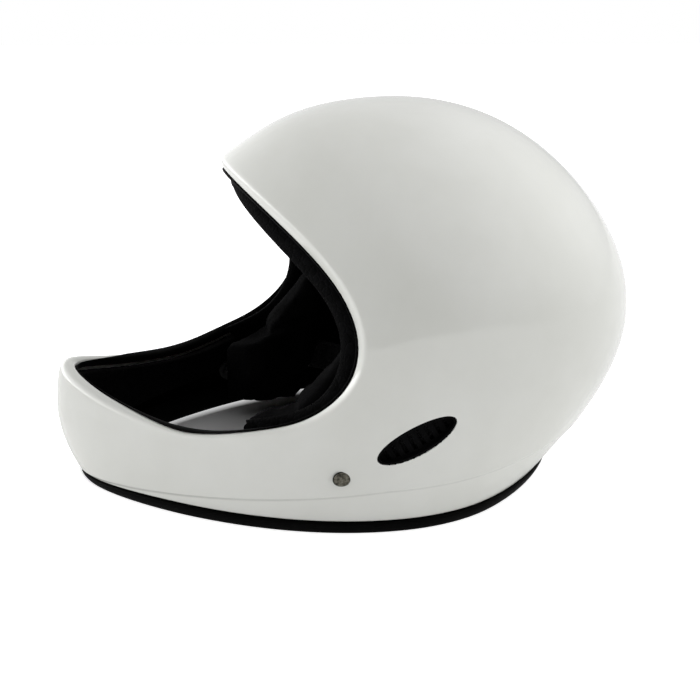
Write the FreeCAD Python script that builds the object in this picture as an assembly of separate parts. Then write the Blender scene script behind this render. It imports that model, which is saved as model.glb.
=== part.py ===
import FreeCAD, Part
import math
import os
from FreeCAD import Vector

# Full-face water helmet, in millimetres. It faces -Y, +Z is up and it stands on its neck trim.
# The origin is below the middle of its box. The side view is the YZ plane.

# Outer form: an ellipse across, a round outline in the side view, narrower towards the chin.
shell_half_width = 121.5
outline_centre = (27.5, 91.0)
outline_radii = [139, 130, 122, 118, 115, 114, 121, 123, 147, 182, 204, 237, 242, 219, 177, 137, 125, 131]
chin_narrowing = 0.33
narrowing_start = 27.5
narrowing_length = 150.0

# Moulded break low on the shell; below it the wall leans inwards.
break_height = 27.0
break_rise_ahead = 0.14
break_rise_behind = 0.05
break_lean = 0.11

# The chin's foot is tucked in below this height, fully from this far ahead of the middle.
tuck_height = 45.0
tuck_rate = 0.007
tuck_full_at = -100.0
foot_fullness = 0.7

# Face opening in the side view, as radii about a centre beside the wearer's eye.
face_centre = (-67.5, 105.0)
face_radii = [56, 54.5, 52, 53, 61, 79, 105, 125, 135, 125, 104, 78.8, 65.5, 54.5, 49.7, 52.3, 55.5, 56]

# Neck edge: the trim's foot is level and rises to the nape. The shell's edge stands above it, less so
# at the nape and at the chin.
shell_edge_height = 6.6
nape_rise_start = 50.0
nape_rise = 0.06
edge_thinning = 3.8
nape_thin_length = 75.0
chin_thin_start = -95.0
chin_thin_length = 65.0

# Walls and layers, from the outside in.
shell_wall = 2.6
lip_depth_brow = 7.0
lip_depth_chin = 9.4
liner_inset = 3.2
liner_depth_side = 16.5
liner_depth_change = 7.0
liner_foot_chin = 9.0
liner_foot_jaw = 22.0
liner_brow_lead = 2.0
liner_brow_recess = 3.5
liner_nose_gap = 3.4
liner_bevel = 13.0
crown_split = 7
chin_split = 20

# Section of the rolled lip, as shares of its depth: (back from the face edge, inwards).
lip_front = [(0.45, 1), (0.12, 0.7), (0.1, 0.3), (0.35, 0.06), (0.9, 0)]
lip_return = 3.0
lip_foot_gap = 0.6
skin_from = 1.6
skin_to = -7.0

# Section of the shell's neck edge: (along from the edge, inwards).
neck_roll = [(-1, 0.2), (0, 0.9), (0, 1.8), (-1, 2.4)]

# Face trim: a rubber edging round the roll, from a start on it to the back of its inner side. Each place
# is back and inwards, as shares of the lip's depth; the way is the trim's own outward way there.
face_trim_places = [(0.16, 0.2), (0.1, 0.4), (0.12, 0.7), (0.45, 1), (0.9, 1)]
face_trim_ways = [(-0.8, -0.6), (-1, 0), (-0.95, 0.3), (-0.45, 0.9), (0, 1)]
face_trim_starts = [3.0, 2.8, 2.6, 2.5, 2.4, 2.3, 0.7, 0, 0, 1.2, 2.3, 3.0, 3.4]
face_trim_columns = 5
face_trim_clear = 0.3
face_trim_proud = 1.3

# Neck trim: (outwards from the wall, up from the shell edge), and its foot up from the base.
neck_trim_outside = [(-1.6, -0.6), (1.7, -0.6), (1.9, -2.0), (1.2, -4.2)]
neck_trim_foot = [(-0.2, 0), (-2.6, 0), (-4.6, 0), (-6.6, 0), (-8.2, 1.6)]
neck_trim_inside = [(-8.4, 1.0), (-8.2, 5.5), (-6.8, 7.2), (-4.2, 7.2), (-2.9, 5.5), (-2.7, 1.5)]
neck_trim_shave = 0.4

# Comfort pads: first and last page, then start and end along the pages in millimetres,
# from the face edge or, where negative, from the neck edge.
pad_gap = 0.5
pad_depth = 9.0
pad_steps = 8
brow_pad = (-9, 9, 22, 56)
crown_pads = [(-6, -2, 64, -112), (-2, 2, 64, -112), (2, 6, 64, -112)]
nape_pad = (-6, 6, -98, -20)
temple_pad = (7, 11, 64, -24)

# Cheek pads, with their outline in the side view, on flat backs that clear the chin strap.
cheek_gap = 7.0
cheek_pad_depth = 24.0
cheek_pad_outline = [(-84, 18), (-80, 9.5), (-20, 9.5), (-9, 22), (-2, 46), (3, 62), (3, 84), (-6, 98),
                     (-24, 76), (-46, 54), (-80, 44)]
cheek_front = -78.0
cheek_front_x = 74.0
cheek_bevel = 26.0
cheek_back = 83.9

# Press studs that hold the cheek pads.
stud_places = [(-64.0, 27.0), (-8.0, 80.0)]
stud_radius = 3.2
stud_sunk = 2.5
socket_radius = 6.0
socket_depth = 4.0

# Pages: half planes that turn about a spine through the face opening and the neck opening.
spine_point = Vector(0, -52.5, 62)
spine_lean = math.radians(45)
page_count = 72
span_steps = 22
page_steps = 60
ray_margin = 0.02
far_reach = 420.0
beyond = 130.0
halvings = 26
slab_steps = 14

# Ear vents (an oval in the side view) and the nape vent.
ear_vent_centre = (13.2, 54.2)
ear_vent_length = 42.5
ear_vent_height = 15.5
ear_vent_tilt = 29.5
ear_slot_count = 8
ear_slot_pitch = 4.6
vent_plate = 2.2
vent_gap = 0.6
vent_rim = 2.6
ear_foam_depth = 9.0
foam_gap = 0.4
ear_slab = (-18, 44, 30, 80)
side_reach = (60, 130)
nape_reach = (120, 180)
collar_gap = 0.3
collar_wall = 1.1
collar_top = 0.4
nape_rim = 0.3
nape_plate = 3.4
nape_slot_length = 42.0
nape_slot_height = 3.0
nape_vent_centre = 92.0
nape_vent_width = 56.0
nape_vent_height = 36.0
nape_slot_count = 5
nape_slot_pitch = 6.4

# Chin strap, drawn hanging straight down from its rivets and then turned to where it rests.
rivet_place = (-21.8, 34.0)
rivet_head_radius = 4.7
rivet_stem_radius = 2.4
rivet_head_height = 1.3
washer_radius = 6.5
washer_face = 84.6
washer_thickness = 1.3
hanger_thickness = 1.6
hanger_end = 16.0
strap_plane = 87.0
strap_width = 20.0
strap_thickness = 1.8
strap_side = 24.0
strap_drop = 92.0
strap_bottom_half = 46.0
strap_bend = 14.0
strap_rest_turn = 78.2
sleeve_half = 24.0
sleeve_play = 0.8
sleeve_rim = 4.0
sleeve_padding = 5.0

# Side-release buckle at the bottom of the strap.
buckle_width = 27.0
buckle_height = 9.0
socket_start = -27.0
socket_end = 5.0
ladder_end = 36.0
prong_width = 4.2
prong_neck = 2.4
prong_tip = -14.0

os.makedirs("parts", exist_ok=True)


# Radius of a closed smooth outline at an angle, from evenly spaced radii (a cubic B-spline).
def smooth_radius(radii, angle):
    place = angle / (2 * math.pi) * len(radii)
    first = math.floor(place)
    u = place - first
    weights = [(1 - u) ** 3, 3 * u ** 3 - 6 * u ** 2 + 4, 3 * (u + u ** 2 - u ** 3) + 1, u ** 3]
    return sum(w * radii[(first - 1 + k) % len(radii)] for k, w in enumerate(weights)) / 6


# How far the skin is drawn in at the chin's foot, and how much squarer than an ellipse it is there.
def tuck(y, z):
    return tuck_rate * max(0.0, tuck_height - z) ** 2 * min(1.0, max(0.0, y / tuck_full_at))


def roundness(y, z):
    low = min(1.0, max(0.0, tuck_height - z) / tuck_height)
    return 2 + foot_fullness * low * min(1.0, max(0.0, y / tuck_full_at))


def width_share(y):
    ahead = max(0.0, narrowing_start - y) / narrowing_length
    return 1 - chin_narrowing * ahead ** 2


# Below 1 inside the helmet's form, above 1 outside it. The inset moves the skin inwards.
def form_level(point, inset):
    y = point.y - outline_centre[0]
    z = point.z - outline_centre[1]
    break_line = break_height + break_rise_ahead * min(0.0, point.y) + break_rise_behind * max(0.0, point.y)
    lean = break_lean * max(0.0, break_line - point.z)
    reach = smooth_radius(outline_radii, math.atan2(z, y)) - inset - lean - tuck(point.y, point.z)
    half_width = shell_half_width * width_share(point.y) - inset - lean
    return abs(point.x / half_width) ** roundness(point.y, point.z) + (y * y + z * z) / reach ** 2


def in_face_opening(point):
    y = point.y - face_centre[0]
    z = point.z - face_centre[1]
    return math.hypot(y, z) < smooth_radius(face_radii, math.atan2(z, y))


def edge_rise(y):
    return nape_rise * max(0.0, y - nape_rise_start)


def shell_edge(y):
    nape = max(0.0, y - nape_rise_start) / nape_thin_length
    chin = max(0.0, chin_thin_start - y) / chin_thin_length
    return shell_edge_height + edge_rise(y) - edge_thinning * (nape ** 2 + chin ** 2)


def below_neck_edge(point):
    return point.z < shell_edge(point.y)


# Halves the span between a place where the test holds and one where it does not.
def turning_place(test, holds, fails):
    for _ in range(halvings):
        middle = (holds + fails) / 2
        if test(middle):
            holds = middle
        else:
            fails = middle
    return (holds + fails) / 2


# One page: a half plane about the spine, in which rays leave the spine point.
class Page:
    def __init__(self, turn):
        self.turn = turn
        self.face_way = Vector(0, -math.cos(spine_lean), math.sin(spine_lean))
        self.out_way = Vector(math.sin(turn), math.sin(spine_lean) * math.cos(turn),
                              math.cos(spine_lean) * math.cos(turn))
        ends = (ray_margin, math.pi - ray_margin)
        at_face = turning_place(lambda a: in_face_opening(self.at(a, 0)), ends[0], ends[1])
        at_neck = turning_place(lambda a: below_neck_edge(self.at(a, 0)), ends[1], at_face)
        self.angles = [at_face + (at_neck - at_face) * k / page_steps for k in range(page_steps + 1)]
        self.lengths = [0.0]
        for a, b in zip(self.angles, self.angles[1:]):
            self.lengths.append(self.lengths[-1] + (self.at(b, 0) - self.at(a, 0)).Length)

    # Point on the form at a ray angle and an inset.
    def at(self, angle, inset):
        way = self.face_way * math.cos(angle) + self.out_way * math.sin(angle)
        reach = turning_place(lambda t: form_level(spine_point + way * t, inset) < 1, 0.0, far_reach)
        return spine_point + way * reach

    # Point at a share of the way from face edge to neck edge, plus an offset along it.
    def point(self, share, offset, inset):
        run = share * self.lengths[-1] + offset
        k = min(max(sum(1 for length in self.lengths if length < run) - 1, 0), page_steps - 1)
        part = (run - self.lengths[k]) / (self.lengths[k + 1] - self.lengths[k])
        angle = self.angles[k] + part * (self.angles[k + 1] - self.angles[k])
        return self.at(angle, inset)


pages = [Page(2 * math.pi * k / page_count) for k in range(page_count)]


def solid_from(shell):
    solid = Part.Solid(shell)
    if solid.Volume < 0:
        solid.reverse()
    return solid


# Closed ring solid whose cross-section on each page is a closed loop of control points.
def ring(section):
    net = [section(page) for page in pages]
    rows = len(net)
    columns = len(net[0])
    surface = Part.BSplineSurface()
    surface.buildFromPolesMultsKnots(net, [1] * (rows + 1), [1] * (columns + 1), list(range(rows + 1)),
                                     list(range(columns + 1)), True, True, 3, 3)
    return solid_from(Part.Shell([surface.toShape()]))


# Part of such a ring, from one page to another, with a flat end on each of those pages.
def segment(section, first, last):
    net = [section(pages[k % page_count]) for k in range(first, last + 1)]
    rows = len(net)
    columns = len(net[0])
    knots = list(range(rows - 2))
    surface = Part.BSplineSurface()
    surface.buildFromPolesMultsKnots(net, [4] + [1] * (rows - 4) + [4], [1] * (columns + 1), knots,
                                     list(range(columns + 1)), False, True, 3, 3)
    skin = surface.toShape()
    ends = [edge for edge in skin.Edges if edge.isClosed()]
    shell = Part.Shell([skin] + [Part.Face(Part.Wire(edge)) for edge in ends])
    shell.sewShape()
    return solid_from(shell)


def span(page, inset, start, end, steps=span_steps):
    shares = [k / (steps - 1) for k in range(steps)]
    return [page.point(s, start * (1 - s) + end * s, inset) for s in shares]


def save(name, shape):
    shape.exportStep("parts/" + name + ".step")
    box = shape.BoundBox
    print(name, len(shape.Solids), shape.isValid(), round(shape.Volume / 1000, 1),
          [round(v, 1) for v in (box.XMin, box.XMax, box.YMin, box.YMax, box.ZMin, box.ZMax)])


# The rolled face edge is deeper at the chin than at the brow.
def lip_depth(page):
    towards_chin = ((1 - math.cos(page.turn)) / 2) ** 2
    return lip_depth_brow + (lip_depth_chin - lip_depth_brow) * towards_chin


def shell_section(page):
    deep = lip_depth(page)
    outer = span(page, 0, skin_from * deep, skin_to)
    inner = span(page, shell_wall, skin_from * deep + lip_return, skin_to)
    neck = [page.point(1, along, inwards) for along, inwards in neck_roll]
    lip = [page.point(0, 0.9 * deep + lip_return, shell_wall + lip_foot_gap),
           page.point(0, 0.5 * deep + lip_return, 0.6 * deep),
           page.point(0, 0.45 * deep + 0.9 * lip_return, deep)]
    lip += [page.point(0, back * deep, inwards * deep) for back, inwards in lip_front]
    return outer + neck + inner[::-1] + lip


# Turn of a page away from the crown, the same on both sides.
def side_turn(page):
    return min(page.turn, 2 * math.pi - page.turn)


def liner_inner(page):
    return liner_inset + liner_depth_side + liner_depth_change * math.cos(page.turn)


# Closed section of the foam liner behind a front edge that is given from its inner side to its outer side.
def foam_section(page, first, front):
    inner = liner_inner(page)
    foot = liner_foot_chin + (liner_foot_jaw - liner_foot_chin) * math.sin(page.turn) ** 4
    outside = span(page, liner_inset, first, -foot - 2)
    inside = span(page, inner, first, -foot - 2)
    end = [page.point(1, -foot, liner_inset + 2), page.point(1, -foot, inner - 2)]
    return outside + end + inside[::-1] + front


# Around the head the foam's rounded nose comes out under the lip, furthest at the temples.
def impact_section(page):
    deep = lip_depth(page)
    inner = liner_inner(page)
    tip = min(deep + 10, inner - 2.5)
    side = side_turn(page)
    lead = liner_brow_lead * math.sin(min(2 * side, math.pi / 2)) * (1 - side / math.pi)
    lead -= liner_brow_recess * max(0.0, math.cos(2 * side)) if side < math.pi / 2 else 0.0
    bevel = liner_bevel * (1 + math.cos(page.turn)) / 2
    nose = [page.point(0, bevel - lead, inner), page.point(0, 0.4 * bevel - lead, (inner + tip) / 2),
            page.point(0, -lead, tip), page.point(0, 1 - lead, deep + liner_nose_gap),
            page.point(0, 0.5 * deep + 8, deep + liner_nose_gap), page.point(0, deep + 7, liner_inset + 2)]
    return foam_section(page, 1.6 * deep + 8, nose)


# Along the chin bar the foam ends behind the lip.
def chin_section(page):
    back = 0.45 * lip_depth(page) + 6.5
    front = [page.point(0, back, liner_inner(page) - 2), page.point(0, back, liner_inset + 2)]
    return foam_section(page, back + 2.5, front)


# Slab that follows the form at an inset: thick along X on a side view grid, or along Y behind the head.
def slab(place_on_form, across_from, across_to, z_from, z_to, depth):
    net = []
    for i in range(slab_steps + 1):
        across = across_from + (across_to - across_from) * i / slab_steps
        heights = [z_from + (z_to - z_from) * j / slab_steps for j in range(slab_steps + 1)]
        net.append([place_on_form(across, z) for z in heights])
    ends = [4] + [1] * (slab_steps - 3) + [4]
    knots = list(range(slab_steps - 1))
    surface = Part.BSplineSurface()
    surface.buildFromPolesMultsKnots(net, ends, ends, knots, knots, False, False, 3, 3)
    return surface.toShape().extrude(depth)


def side_slab(inset, y_from, y_to, z_from, z_to, depth):
    def on_form(y, z):
        return Vector(skin_x((y, z), inset), y, z)
    return slab(on_form, y_from, y_to, z_from, z_to, Vector(-depth, 0, 0))


def back_slab(inset, half_width, z_from, z_to, depth):
    def on_form(x, z):
        y = turning_place(lambda t: form_level(Vector(x, t, z), inset) < 1, 0.0, 200.0)
        return Vector(x, y, z)
    return slab(on_form, -half_width, half_width, z_from, z_to, Vector(0, -depth, 0))


# Closed outline in the side view, cut straight across from one x to another.
def side_prism(points, x_from, x_to):
    wire = Part.makePolygon([Vector(x_from, y, z) for y, z in points + points[:1]])
    return Part.Face(wire).extrude(Vector(x_to - x_from, 0, 0))


def box(x_from, x_to, y_from, y_to, z_from, z_to):
    return Part.makeBox(x_to - x_from, y_to - y_from, z_to - z_from, Vector(x_from, y_from, z_from))


def mirrored(shape):
    return shape.mirror(Vector(0, 0, 0), Vector(1, 0, 0))


def save_pair(name, left_shape):
    save(name + "_left", left_shape)
    save(name + "_right", mirrored(left_shape))


# Rod along X about a side-view place.
def rod(place, radius, x_from, x_to):
    return Part.makeCylinder(radius, x_to - x_from, Vector(x_from, place[0], place[1]), Vector(1, 0, 0))


# Half width of the form at a side-view place.
def skin_x(place, inset):
    return turning_place(lambda x: form_level(Vector(x, place[0], place[1]), inset) < 1, 0.0, 130.0)


# Oval in the side view, tilted, as a prism from one x to another.
def ear_oval(grow, x_from, x_to):
    length = ear_vent_length / 2 + grow
    height = ear_vent_height / 2 + grow
    centre = Vector(x_from, ear_vent_centre[0], ear_vent_centre[1])
    tilt = math.radians(ear_vent_tilt)
    long_way = Vector(0, math.cos(tilt), math.sin(tilt))
    cross_way = Vector(0, -math.sin(tilt), math.cos(tilt))
    oval = Part.Ellipse(centre + long_way * length, centre + cross_way * height, centre)
    return Part.Face(Part.Wire(oval.toShape())).extrude(Vector(x_to - x_from, 0, 0))


def nape_window(grow, y_from, y_to):
    half_width = nape_vent_width / 2 + grow
    half_height = nape_vent_height / 2 + grow
    block = box(-half_width, half_width, y_from, y_to, nape_vent_centre - half_height,
                nape_vent_centre + half_height)
    along = [e for e in block.Edges if abs(e.tangentAt(0).y) > 0.9]
    return block.makeFillet(9 + grow, along)


# ---- Shell, edge trims and liners ----

def make_shell():
    stem_hole = rod(rivet_place, rivet_stem_radius, -beyond, beyond)
    ears = ear_oval(0, -beyond, beyond)
    return ring(shell_section).cut(ears).cut(nape_window(nape_rim, *nape_reach)).cut(stem_hole)


# Where along its places the face trim starts, from the crown round to the chin.
def face_trim_start(page):
    place = side_turn(page) / math.pi * (len(face_trim_starts) - 1)
    k = min(int(place), len(face_trim_starts) - 2)
    return face_trim_starts[k] + (face_trim_starts[k + 1] - face_trim_starts[k]) * (place - k)


def between(values, place):
    k = min(int(place), len(values) - 2)
    part = place - k
    return [a + (b - a) * part for a, b in zip(values[k], values[k + 1])]


def face_trim_section(page):
    deep = lip_depth(page)
    start = face_trim_start(page)
    last = len(face_trim_places) - 1
    stops = [start + (last - start) * k / (face_trim_columns - 1) for k in range(face_trim_columns)]
    section = []
    for stop, off in [(p, face_trim_clear) for p in stops] + [(p, face_trim_proud) for p in stops[::-1]]:
        back, inwards = between(face_trim_places, stop)
        way = between(face_trim_ways, stop)
        section.append(page.point(0, back * deep + way[0] * off, inwards * deep + way[1] * off))
    return section


# Rubber channel below and behind the shell edge.
def neck_trim_section(page):
    edge = page.point(1, 0, shell_wall / 2)
    way = page.point(1, 0, 0) - edge
    out = Vector(way.x, way.y, 0).normalize()
    base = edge_rise(edge.y) - neck_trim_shave
    height = (edge.z - base) / (shell_edge_height + neck_trim_shave)
    places = [(o, edge.z + up * height) for o, up in neck_trim_outside]
    places += [(o, base + up) for o, up in neck_trim_foot]
    places += [(o, edge.z + up) for o, up in neck_trim_inside]
    return [Vector(edge.x + out.x * o, edge.y + out.y * o, z) for o, z in places]


# Its foot is shaved flat, so that the helmet stands level.
def make_neck_trim():
    return ring(neck_trim_section).cut(box(-200, 200, -200, 200, -5, 0))


# Room in the foam for the strap rivets, the stud sockets and the vents.
def hollow_out(foam):
    foam = foam.cut(rod(rivet_place, rivet_stem_radius + 0.3, -beyond, beyond))
    for place in stud_places:
        bore = rod(place, socket_radius + 0.2, socket_x(place) - 3, socket_x(place) + 4)
        foam = foam.cut(bore).cut(mirrored(bore))
    return foam.cut(ear_oval(3, -beyond, beyond))


def make_crown_liner():
    return segment(impact_section, -crown_split, crown_split).cut(nape_window(4, *nape_reach))


def make_side_liner():
    return hollow_out(segment(impact_section, crown_split, chin_split))


def make_chin_liner():
    return hollow_out(segment(chin_section, chin_split, page_count - chin_split))


# ---- Pads ----

def comfort_pad(pad):
    first, last, start, end = pad

    def section(page):
        outer = liner_inner(page) + pad_gap
        length = page.lengths[-1]
        near = start if start > 0 else length + start
        far = end if end < 0 else end - length
        outside = span(page, outer, near, far, pad_steps)
        inside = span(page, outer + pad_depth, near, far, pad_steps)
        return outside + inside[::-1]
    return segment(section, first, last)


def make_cheek_pad():
    inset = liner_inset + liner_depth_side + cheek_gap
    block = side_slab(inset, -90, 10, 4, 104, cheek_pad_depth)
    block = block.common(side_prism(cheek_pad_outline, 20, 120))
    block = block.cut(box(cheek_back, 130, -120, 60, -20, 130))
    corners = [(10, cheek_front - 20), (cheek_front_x, cheek_front - 20), (cheek_front_x, cheek_front),
               (cheek_front_x - cheek_bevel, cheek_front + cheek_bevel), (10, cheek_front + cheek_bevel)]
    wire = Part.makePolygon([Vector(x, y, 0) for x, y in corners + corners[:1]])
    return block.cut(Part.Face(wire).extrude(Vector(0, 0, 120)))


# ---- Press studs ----

def socket_x(place):
    return skin_x(place, liner_inset + liner_depth_side + 1)


def stud_post(place):
    pad_back = min(cheek_back, socket_x(place) + 1 - cheek_gap)
    return rod(place, stud_radius, pad_back - stud_sunk, socket_x(place) + 1)


def make_studs():
    return Part.makeCompound([stud_post(place) for place in stud_places])


def make_sockets():
    rings = []
    for place in stud_places:
        start = socket_x(place) - 1.5
        bore = rod(place, stud_radius + 0.3, start - 1, start + socket_depth - 1.2)
        rings.append(rod(place, socket_radius, start, start + socket_depth).cut(bore))
    return Part.makeCompound(rings)


# ---- Vents ----

# Slotted plate behind the wall, with a collar that lines the opening.
def make_ear_grille():
    plate = side_slab(shell_wall + vent_gap, *ear_slab, vent_plate)
    plate = plate.common(ear_oval(vent_rim, *side_reach))
    collar = side_slab(collar_top, *ear_slab, shell_wall + vent_gap)
    collar = collar.common(ear_oval(-collar_gap, *side_reach))
    plate = plate.fuse(collar.cut(ear_oval(-collar_gap - collar_wall, *side_reach)))
    tilt = math.radians(ear_vent_tilt)
    for k in range(ear_slot_count):
        shift = (k - (ear_slot_count - 1) / 2) * ear_slot_pitch
        place = (ear_vent_centre[0] + shift * math.cos(tilt), ear_vent_centre[1] + shift * math.sin(tilt))
        half = 0.65 * ear_vent_height / 2 * math.sqrt(1 - (2 * shift / ear_vent_length) ** 2)
        slot = box(*side_reach, place[0] - 1, place[0] + 1, place[1] - half, place[1] + half)
        slot.rotate(Vector(0, place[0], place[1]), Vector(1, 0, 0), ear_vent_tilt)
        plate = plate.cut(slot)
    return plate


def make_ear_foam():
    foam = side_slab(shell_wall + vent_gap + vent_plate + foam_gap, *ear_slab, ear_foam_depth)
    return foam.common(ear_oval(vent_rim, *side_reach))


def make_nape_grille():
    plate = back_slab(-0.5, 40, 62, 122, nape_plate).common(nape_window(0, *nape_reach))
    half_length = nape_slot_length / 2
    half_height = nape_slot_height / 2
    for k in range(nape_slot_count):
        height = nape_vent_centre + (k - (nape_slot_count - 1) / 2) * nape_slot_pitch
        slot = box(-half_length, half_length, *nape_reach, height - half_height, height + half_height)
        plate = plate.cut(slot)
    return plate


# ---- Rivets and washers ----

def make_rivet():
    surface = skin_x(rivet_place, 0)
    top = surface + rivet_head_height
    head = rod(rivet_place, rivet_head_radius, surface - 0.6, top)
    rim = [e for e in head.Edges if e.BoundBox.XMin > top - 0.1]
    head = head.makeFillet(0.65 * rivet_head_height, rim)
    return head.fuse(rod(rivet_place, rivet_stem_radius, washer_face - 0.2, surface))


def make_washer():
    disc = rod(rivet_place, washer_radius, washer_face, washer_face + washer_thickness)
    return disc.cut(rod(rivet_place, rivet_stem_radius, 80, 90))


# ---- Chin strap, in its hanging attitude: x across, z down from the rivets ----

def settle(shape):
    turned = shape.copy()
    turned.rotate(Vector(0, 0, 0), Vector(1, 0, 0), strap_rest_turn)
    turned.translate(Vector(0, rivet_place[0], rivet_place[1]))
    return turned


# Line of straight runs with a tangent arc at each inner point.
def bent_line(points, radius):
    edges = []
    start = points[0]
    for before, corner, after in zip(points, points[1:], points[2:]):
        back = (before - corner).normalize()
        on = (after - corner).normalize()
        half = back.getAngle(on) / 2
        reach = radius / math.tan(half)
        bisector = (back + on).normalize()
        first = corner + back * reach
        last = corner + on * reach
        middle = corner + bisector * (radius / math.sin(half) - radius)
        edges += [Part.LineSegment(start, first).toShape(), Part.Arc(first, middle, last).toShape()]
        start = last
    edges.append(Part.LineSegment(start, points[-1]).toShape())
    return Part.Wire(edges)


# Flat band along a line in the XZ plane: wide along Y, thin across the line.
def band(points, width, thickness):
    line = bent_line(points, strap_bend)
    way = (points[1] - points[0]).normalize()
    side = Vector(0, 1, 0).cross(way) * (thickness / 2)
    across = Vector(0, width / 2, 0)
    corners = [points[0] + side + across, points[0] - side + across, points[0] - side - across,
               points[0] + side - across]
    profile = Part.makePolygon(corners + corners[:1])
    return line.makePipeShell([profile], True, False)


def strap_line(end_x):
    return [Vector(strap_plane, 0, -hanger_end), Vector(strap_plane, 0, -strap_side),
            Vector(strap_bottom_half, 0, -strap_drop), Vector(end_x, 0, -strap_drop)]


def make_hanger():
    face = strap_plane - hanger_thickness / 2
    plate = box(face, face + hanger_thickness, -11, 11, -hanger_end, 4)
    eye = Part.makeCylinder(9, hanger_thickness, Vector(face, 0, 0), Vector(1, 0, 0))
    hole = Part.makeCylinder(rivet_stem_radius + 0.25, 10, Vector(strap_plane - 5, 0, 0), Vector(1, 0, 0))
    slot = box(strap_plane - 5, strap_plane + 5, -8, 8, -hanger_end + 2, -hanger_end + 4.5)
    corners = [e for e in plate.Edges if abs(e.tangentAt(0).x) > 0.9]
    return plate.makeFillet(2.5, corners).fuse(eye).cut(hole).cut(slot)


# Padded sleeve on the straight run of the strap, with room to slide along it.
def make_sleeve():
    line = strap_line(0)
    way = (line[2] - line[1]).normalize()
    middle = (line[1] + line[2]) * 0.5
    half = way * sleeve_half
    tube = band([middle - half, middle + half], strap_width + sleeve_rim, strap_thickness + sleeve_padding)
    end = way * (sleeve_half + 2)
    channel = band([middle - end, middle + end], strap_width + sleeve_play, strap_thickness + sleeve_play)
    return tube.cut(channel)


def centred_box(x_from, x_to, width, height):
    return box(x_from, x_to, -width / 2, width / 2, -strap_drop - height / 2, -strap_drop + height / 2)


def rounded_along_x(block, radius):
    along = [e for e in block.Edges if abs(e.tangentAt(0).x) > 0.9]
    return block.makeFillet(radius, along)


def make_socket():
    body = rounded_along_x(centred_box(socket_start, socket_end, buckle_width, buckle_height), 2.5)
    inside = centred_box(prong_tip - 4, socket_end + 1, buckle_width - 5, buckle_height - 4)
    windows = centred_box(prong_tip - 2, prong_tip + 11, buckle_width + 2, buckle_height - 4)
    entry = centred_box(socket_start - 1, socket_start + 6, strap_width + 0.6, strap_thickness)
    return body.cut(inside).cut(windows).cut(entry)


def make_plug():
    root = rounded_along_x(centred_box(socket_end + 0.4, socket_end + 7, buckle_width, buckle_height), 2.5)
    guide = centred_box(socket_end - 12, socket_end + 1, 6, 4)
    frame = rounded_along_x(centred_box(socket_end + 6, ladder_end, buckle_width, buckle_height), 2.5)
    frame = frame.cut(centred_box(socket_end + 9, ladder_end - 4, strap_width + 1, buckle_height + 2))
    frame = frame.fuse(box(socket_end + 15, socket_end + 19, -12, 12, -strap_drop + 1.4, -strap_drop + 4))
    tunnel = centred_box(socket_end + 6.5, ladder_end + 1, strap_width + 0.8, strap_thickness + 0.6)
    notches = [prong_space(side) for side in (-1, 1)]
    return root.fuse(guide).fuse(frame).cut(tunnel).cut(notches[0]).cut(notches[1])


def prong_y(side):
    return side * (buckle_width / 2 - 5.2)


def prong_pivot(side):
    return Vector(socket_end + 3.2, prong_y(side), -strap_drop)


def prong_space(side):
    pivot = prong_pivot(side)
    half = prong_neck / 2 + 1
    low = -strap_drop - 2.5
    mouth = box(socket_end - 2, pivot.x, pivot.y - half, pivot.y + half, low, low + 5)
    return mouth.fuse(Part.makeCylinder(2.7, 5, Vector(pivot.x, pivot.y, low)))


def make_prong(side):
    pivot = prong_pivot(side)
    low = -strap_drop - 2.0
    shoulder = socket_end - 1
    arm = box(prong_tip, shoulder, pivot.y - prong_width / 2, pivot.y + prong_width / 2, low, low + 4)
    neck = box(shoulder - 1, pivot.x, pivot.y - prong_neck / 2, pivot.y + prong_neck / 2, low, low + 4)
    knuckle = Part.makeCylinder(2.4, 4, Vector(pivot.x, pivot.y, low))
    inner = pivot.y + side * prong_width / 2
    outer = side * (buckle_width / 2 + 0.4)
    outline = [(prong_tip, inner), (prong_tip + 2, outer), (prong_tip + 7, outer), (prong_tip + 7.6, inner)]
    wire = Part.makePolygon([Vector(x, y, low) for x, y in outline + outline[:1]])
    catch = Part.Face(wire).extrude(Vector(0, 0, 4))
    return arm.fuse(neck).fuse(knuckle).fuse(catch).removeSplitter()


# ---- Parts ----

save("outer_shell", make_shell())
save("face_trim", ring(face_trim_section))
save("neck_trim", make_neck_trim())
save("crown_liner", make_crown_liner())
save_pair("side_liner", make_side_liner())
save("chin_liner", make_chin_liner())
save("brow_pad", comfort_pad(brow_pad))
save("crown_pad", Part.makeCompound([comfort_pad(pad) for pad in crown_pads]))
save("nape_pad", comfort_pad(nape_pad))
save_pair("temple_pad", comfort_pad(temple_pad))
save_pair("cheek_pad", make_cheek_pad())
save_pair("pad_studs", make_studs())
save_pair("stud_sockets", make_sockets())
save_pair("ear_grille", make_ear_grille())
save_pair("ear_foam", make_ear_foam())
save("nape_grille", make_nape_grille())
save_pair("strap_rivet", make_rivet())
save_pair("rivet_washer", make_washer())
save_pair("strap_hanger", settle(make_hanger()))
webbing = band(strap_line(ladder_end - 6), strap_width, strap_thickness)
anchored = mirrored(band(strap_line(-socket_start - 5), strap_width, strap_thickness))
save("webbing_left", settle(webbing))
save("webbing_right", settle(anchored))
save("chin_sleeve", settle(mirrored(make_sleeve())))
save("buckle_socket", settle(make_socket()))
save("buckle_plug", settle(make_plug()))
save("prong_front", settle(make_prong(-1)))
save("prong_rear", settle(make_prong(1)))
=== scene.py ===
import bpy
import math
import numpy as np
from mathutils import Matrix, Vector


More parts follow.
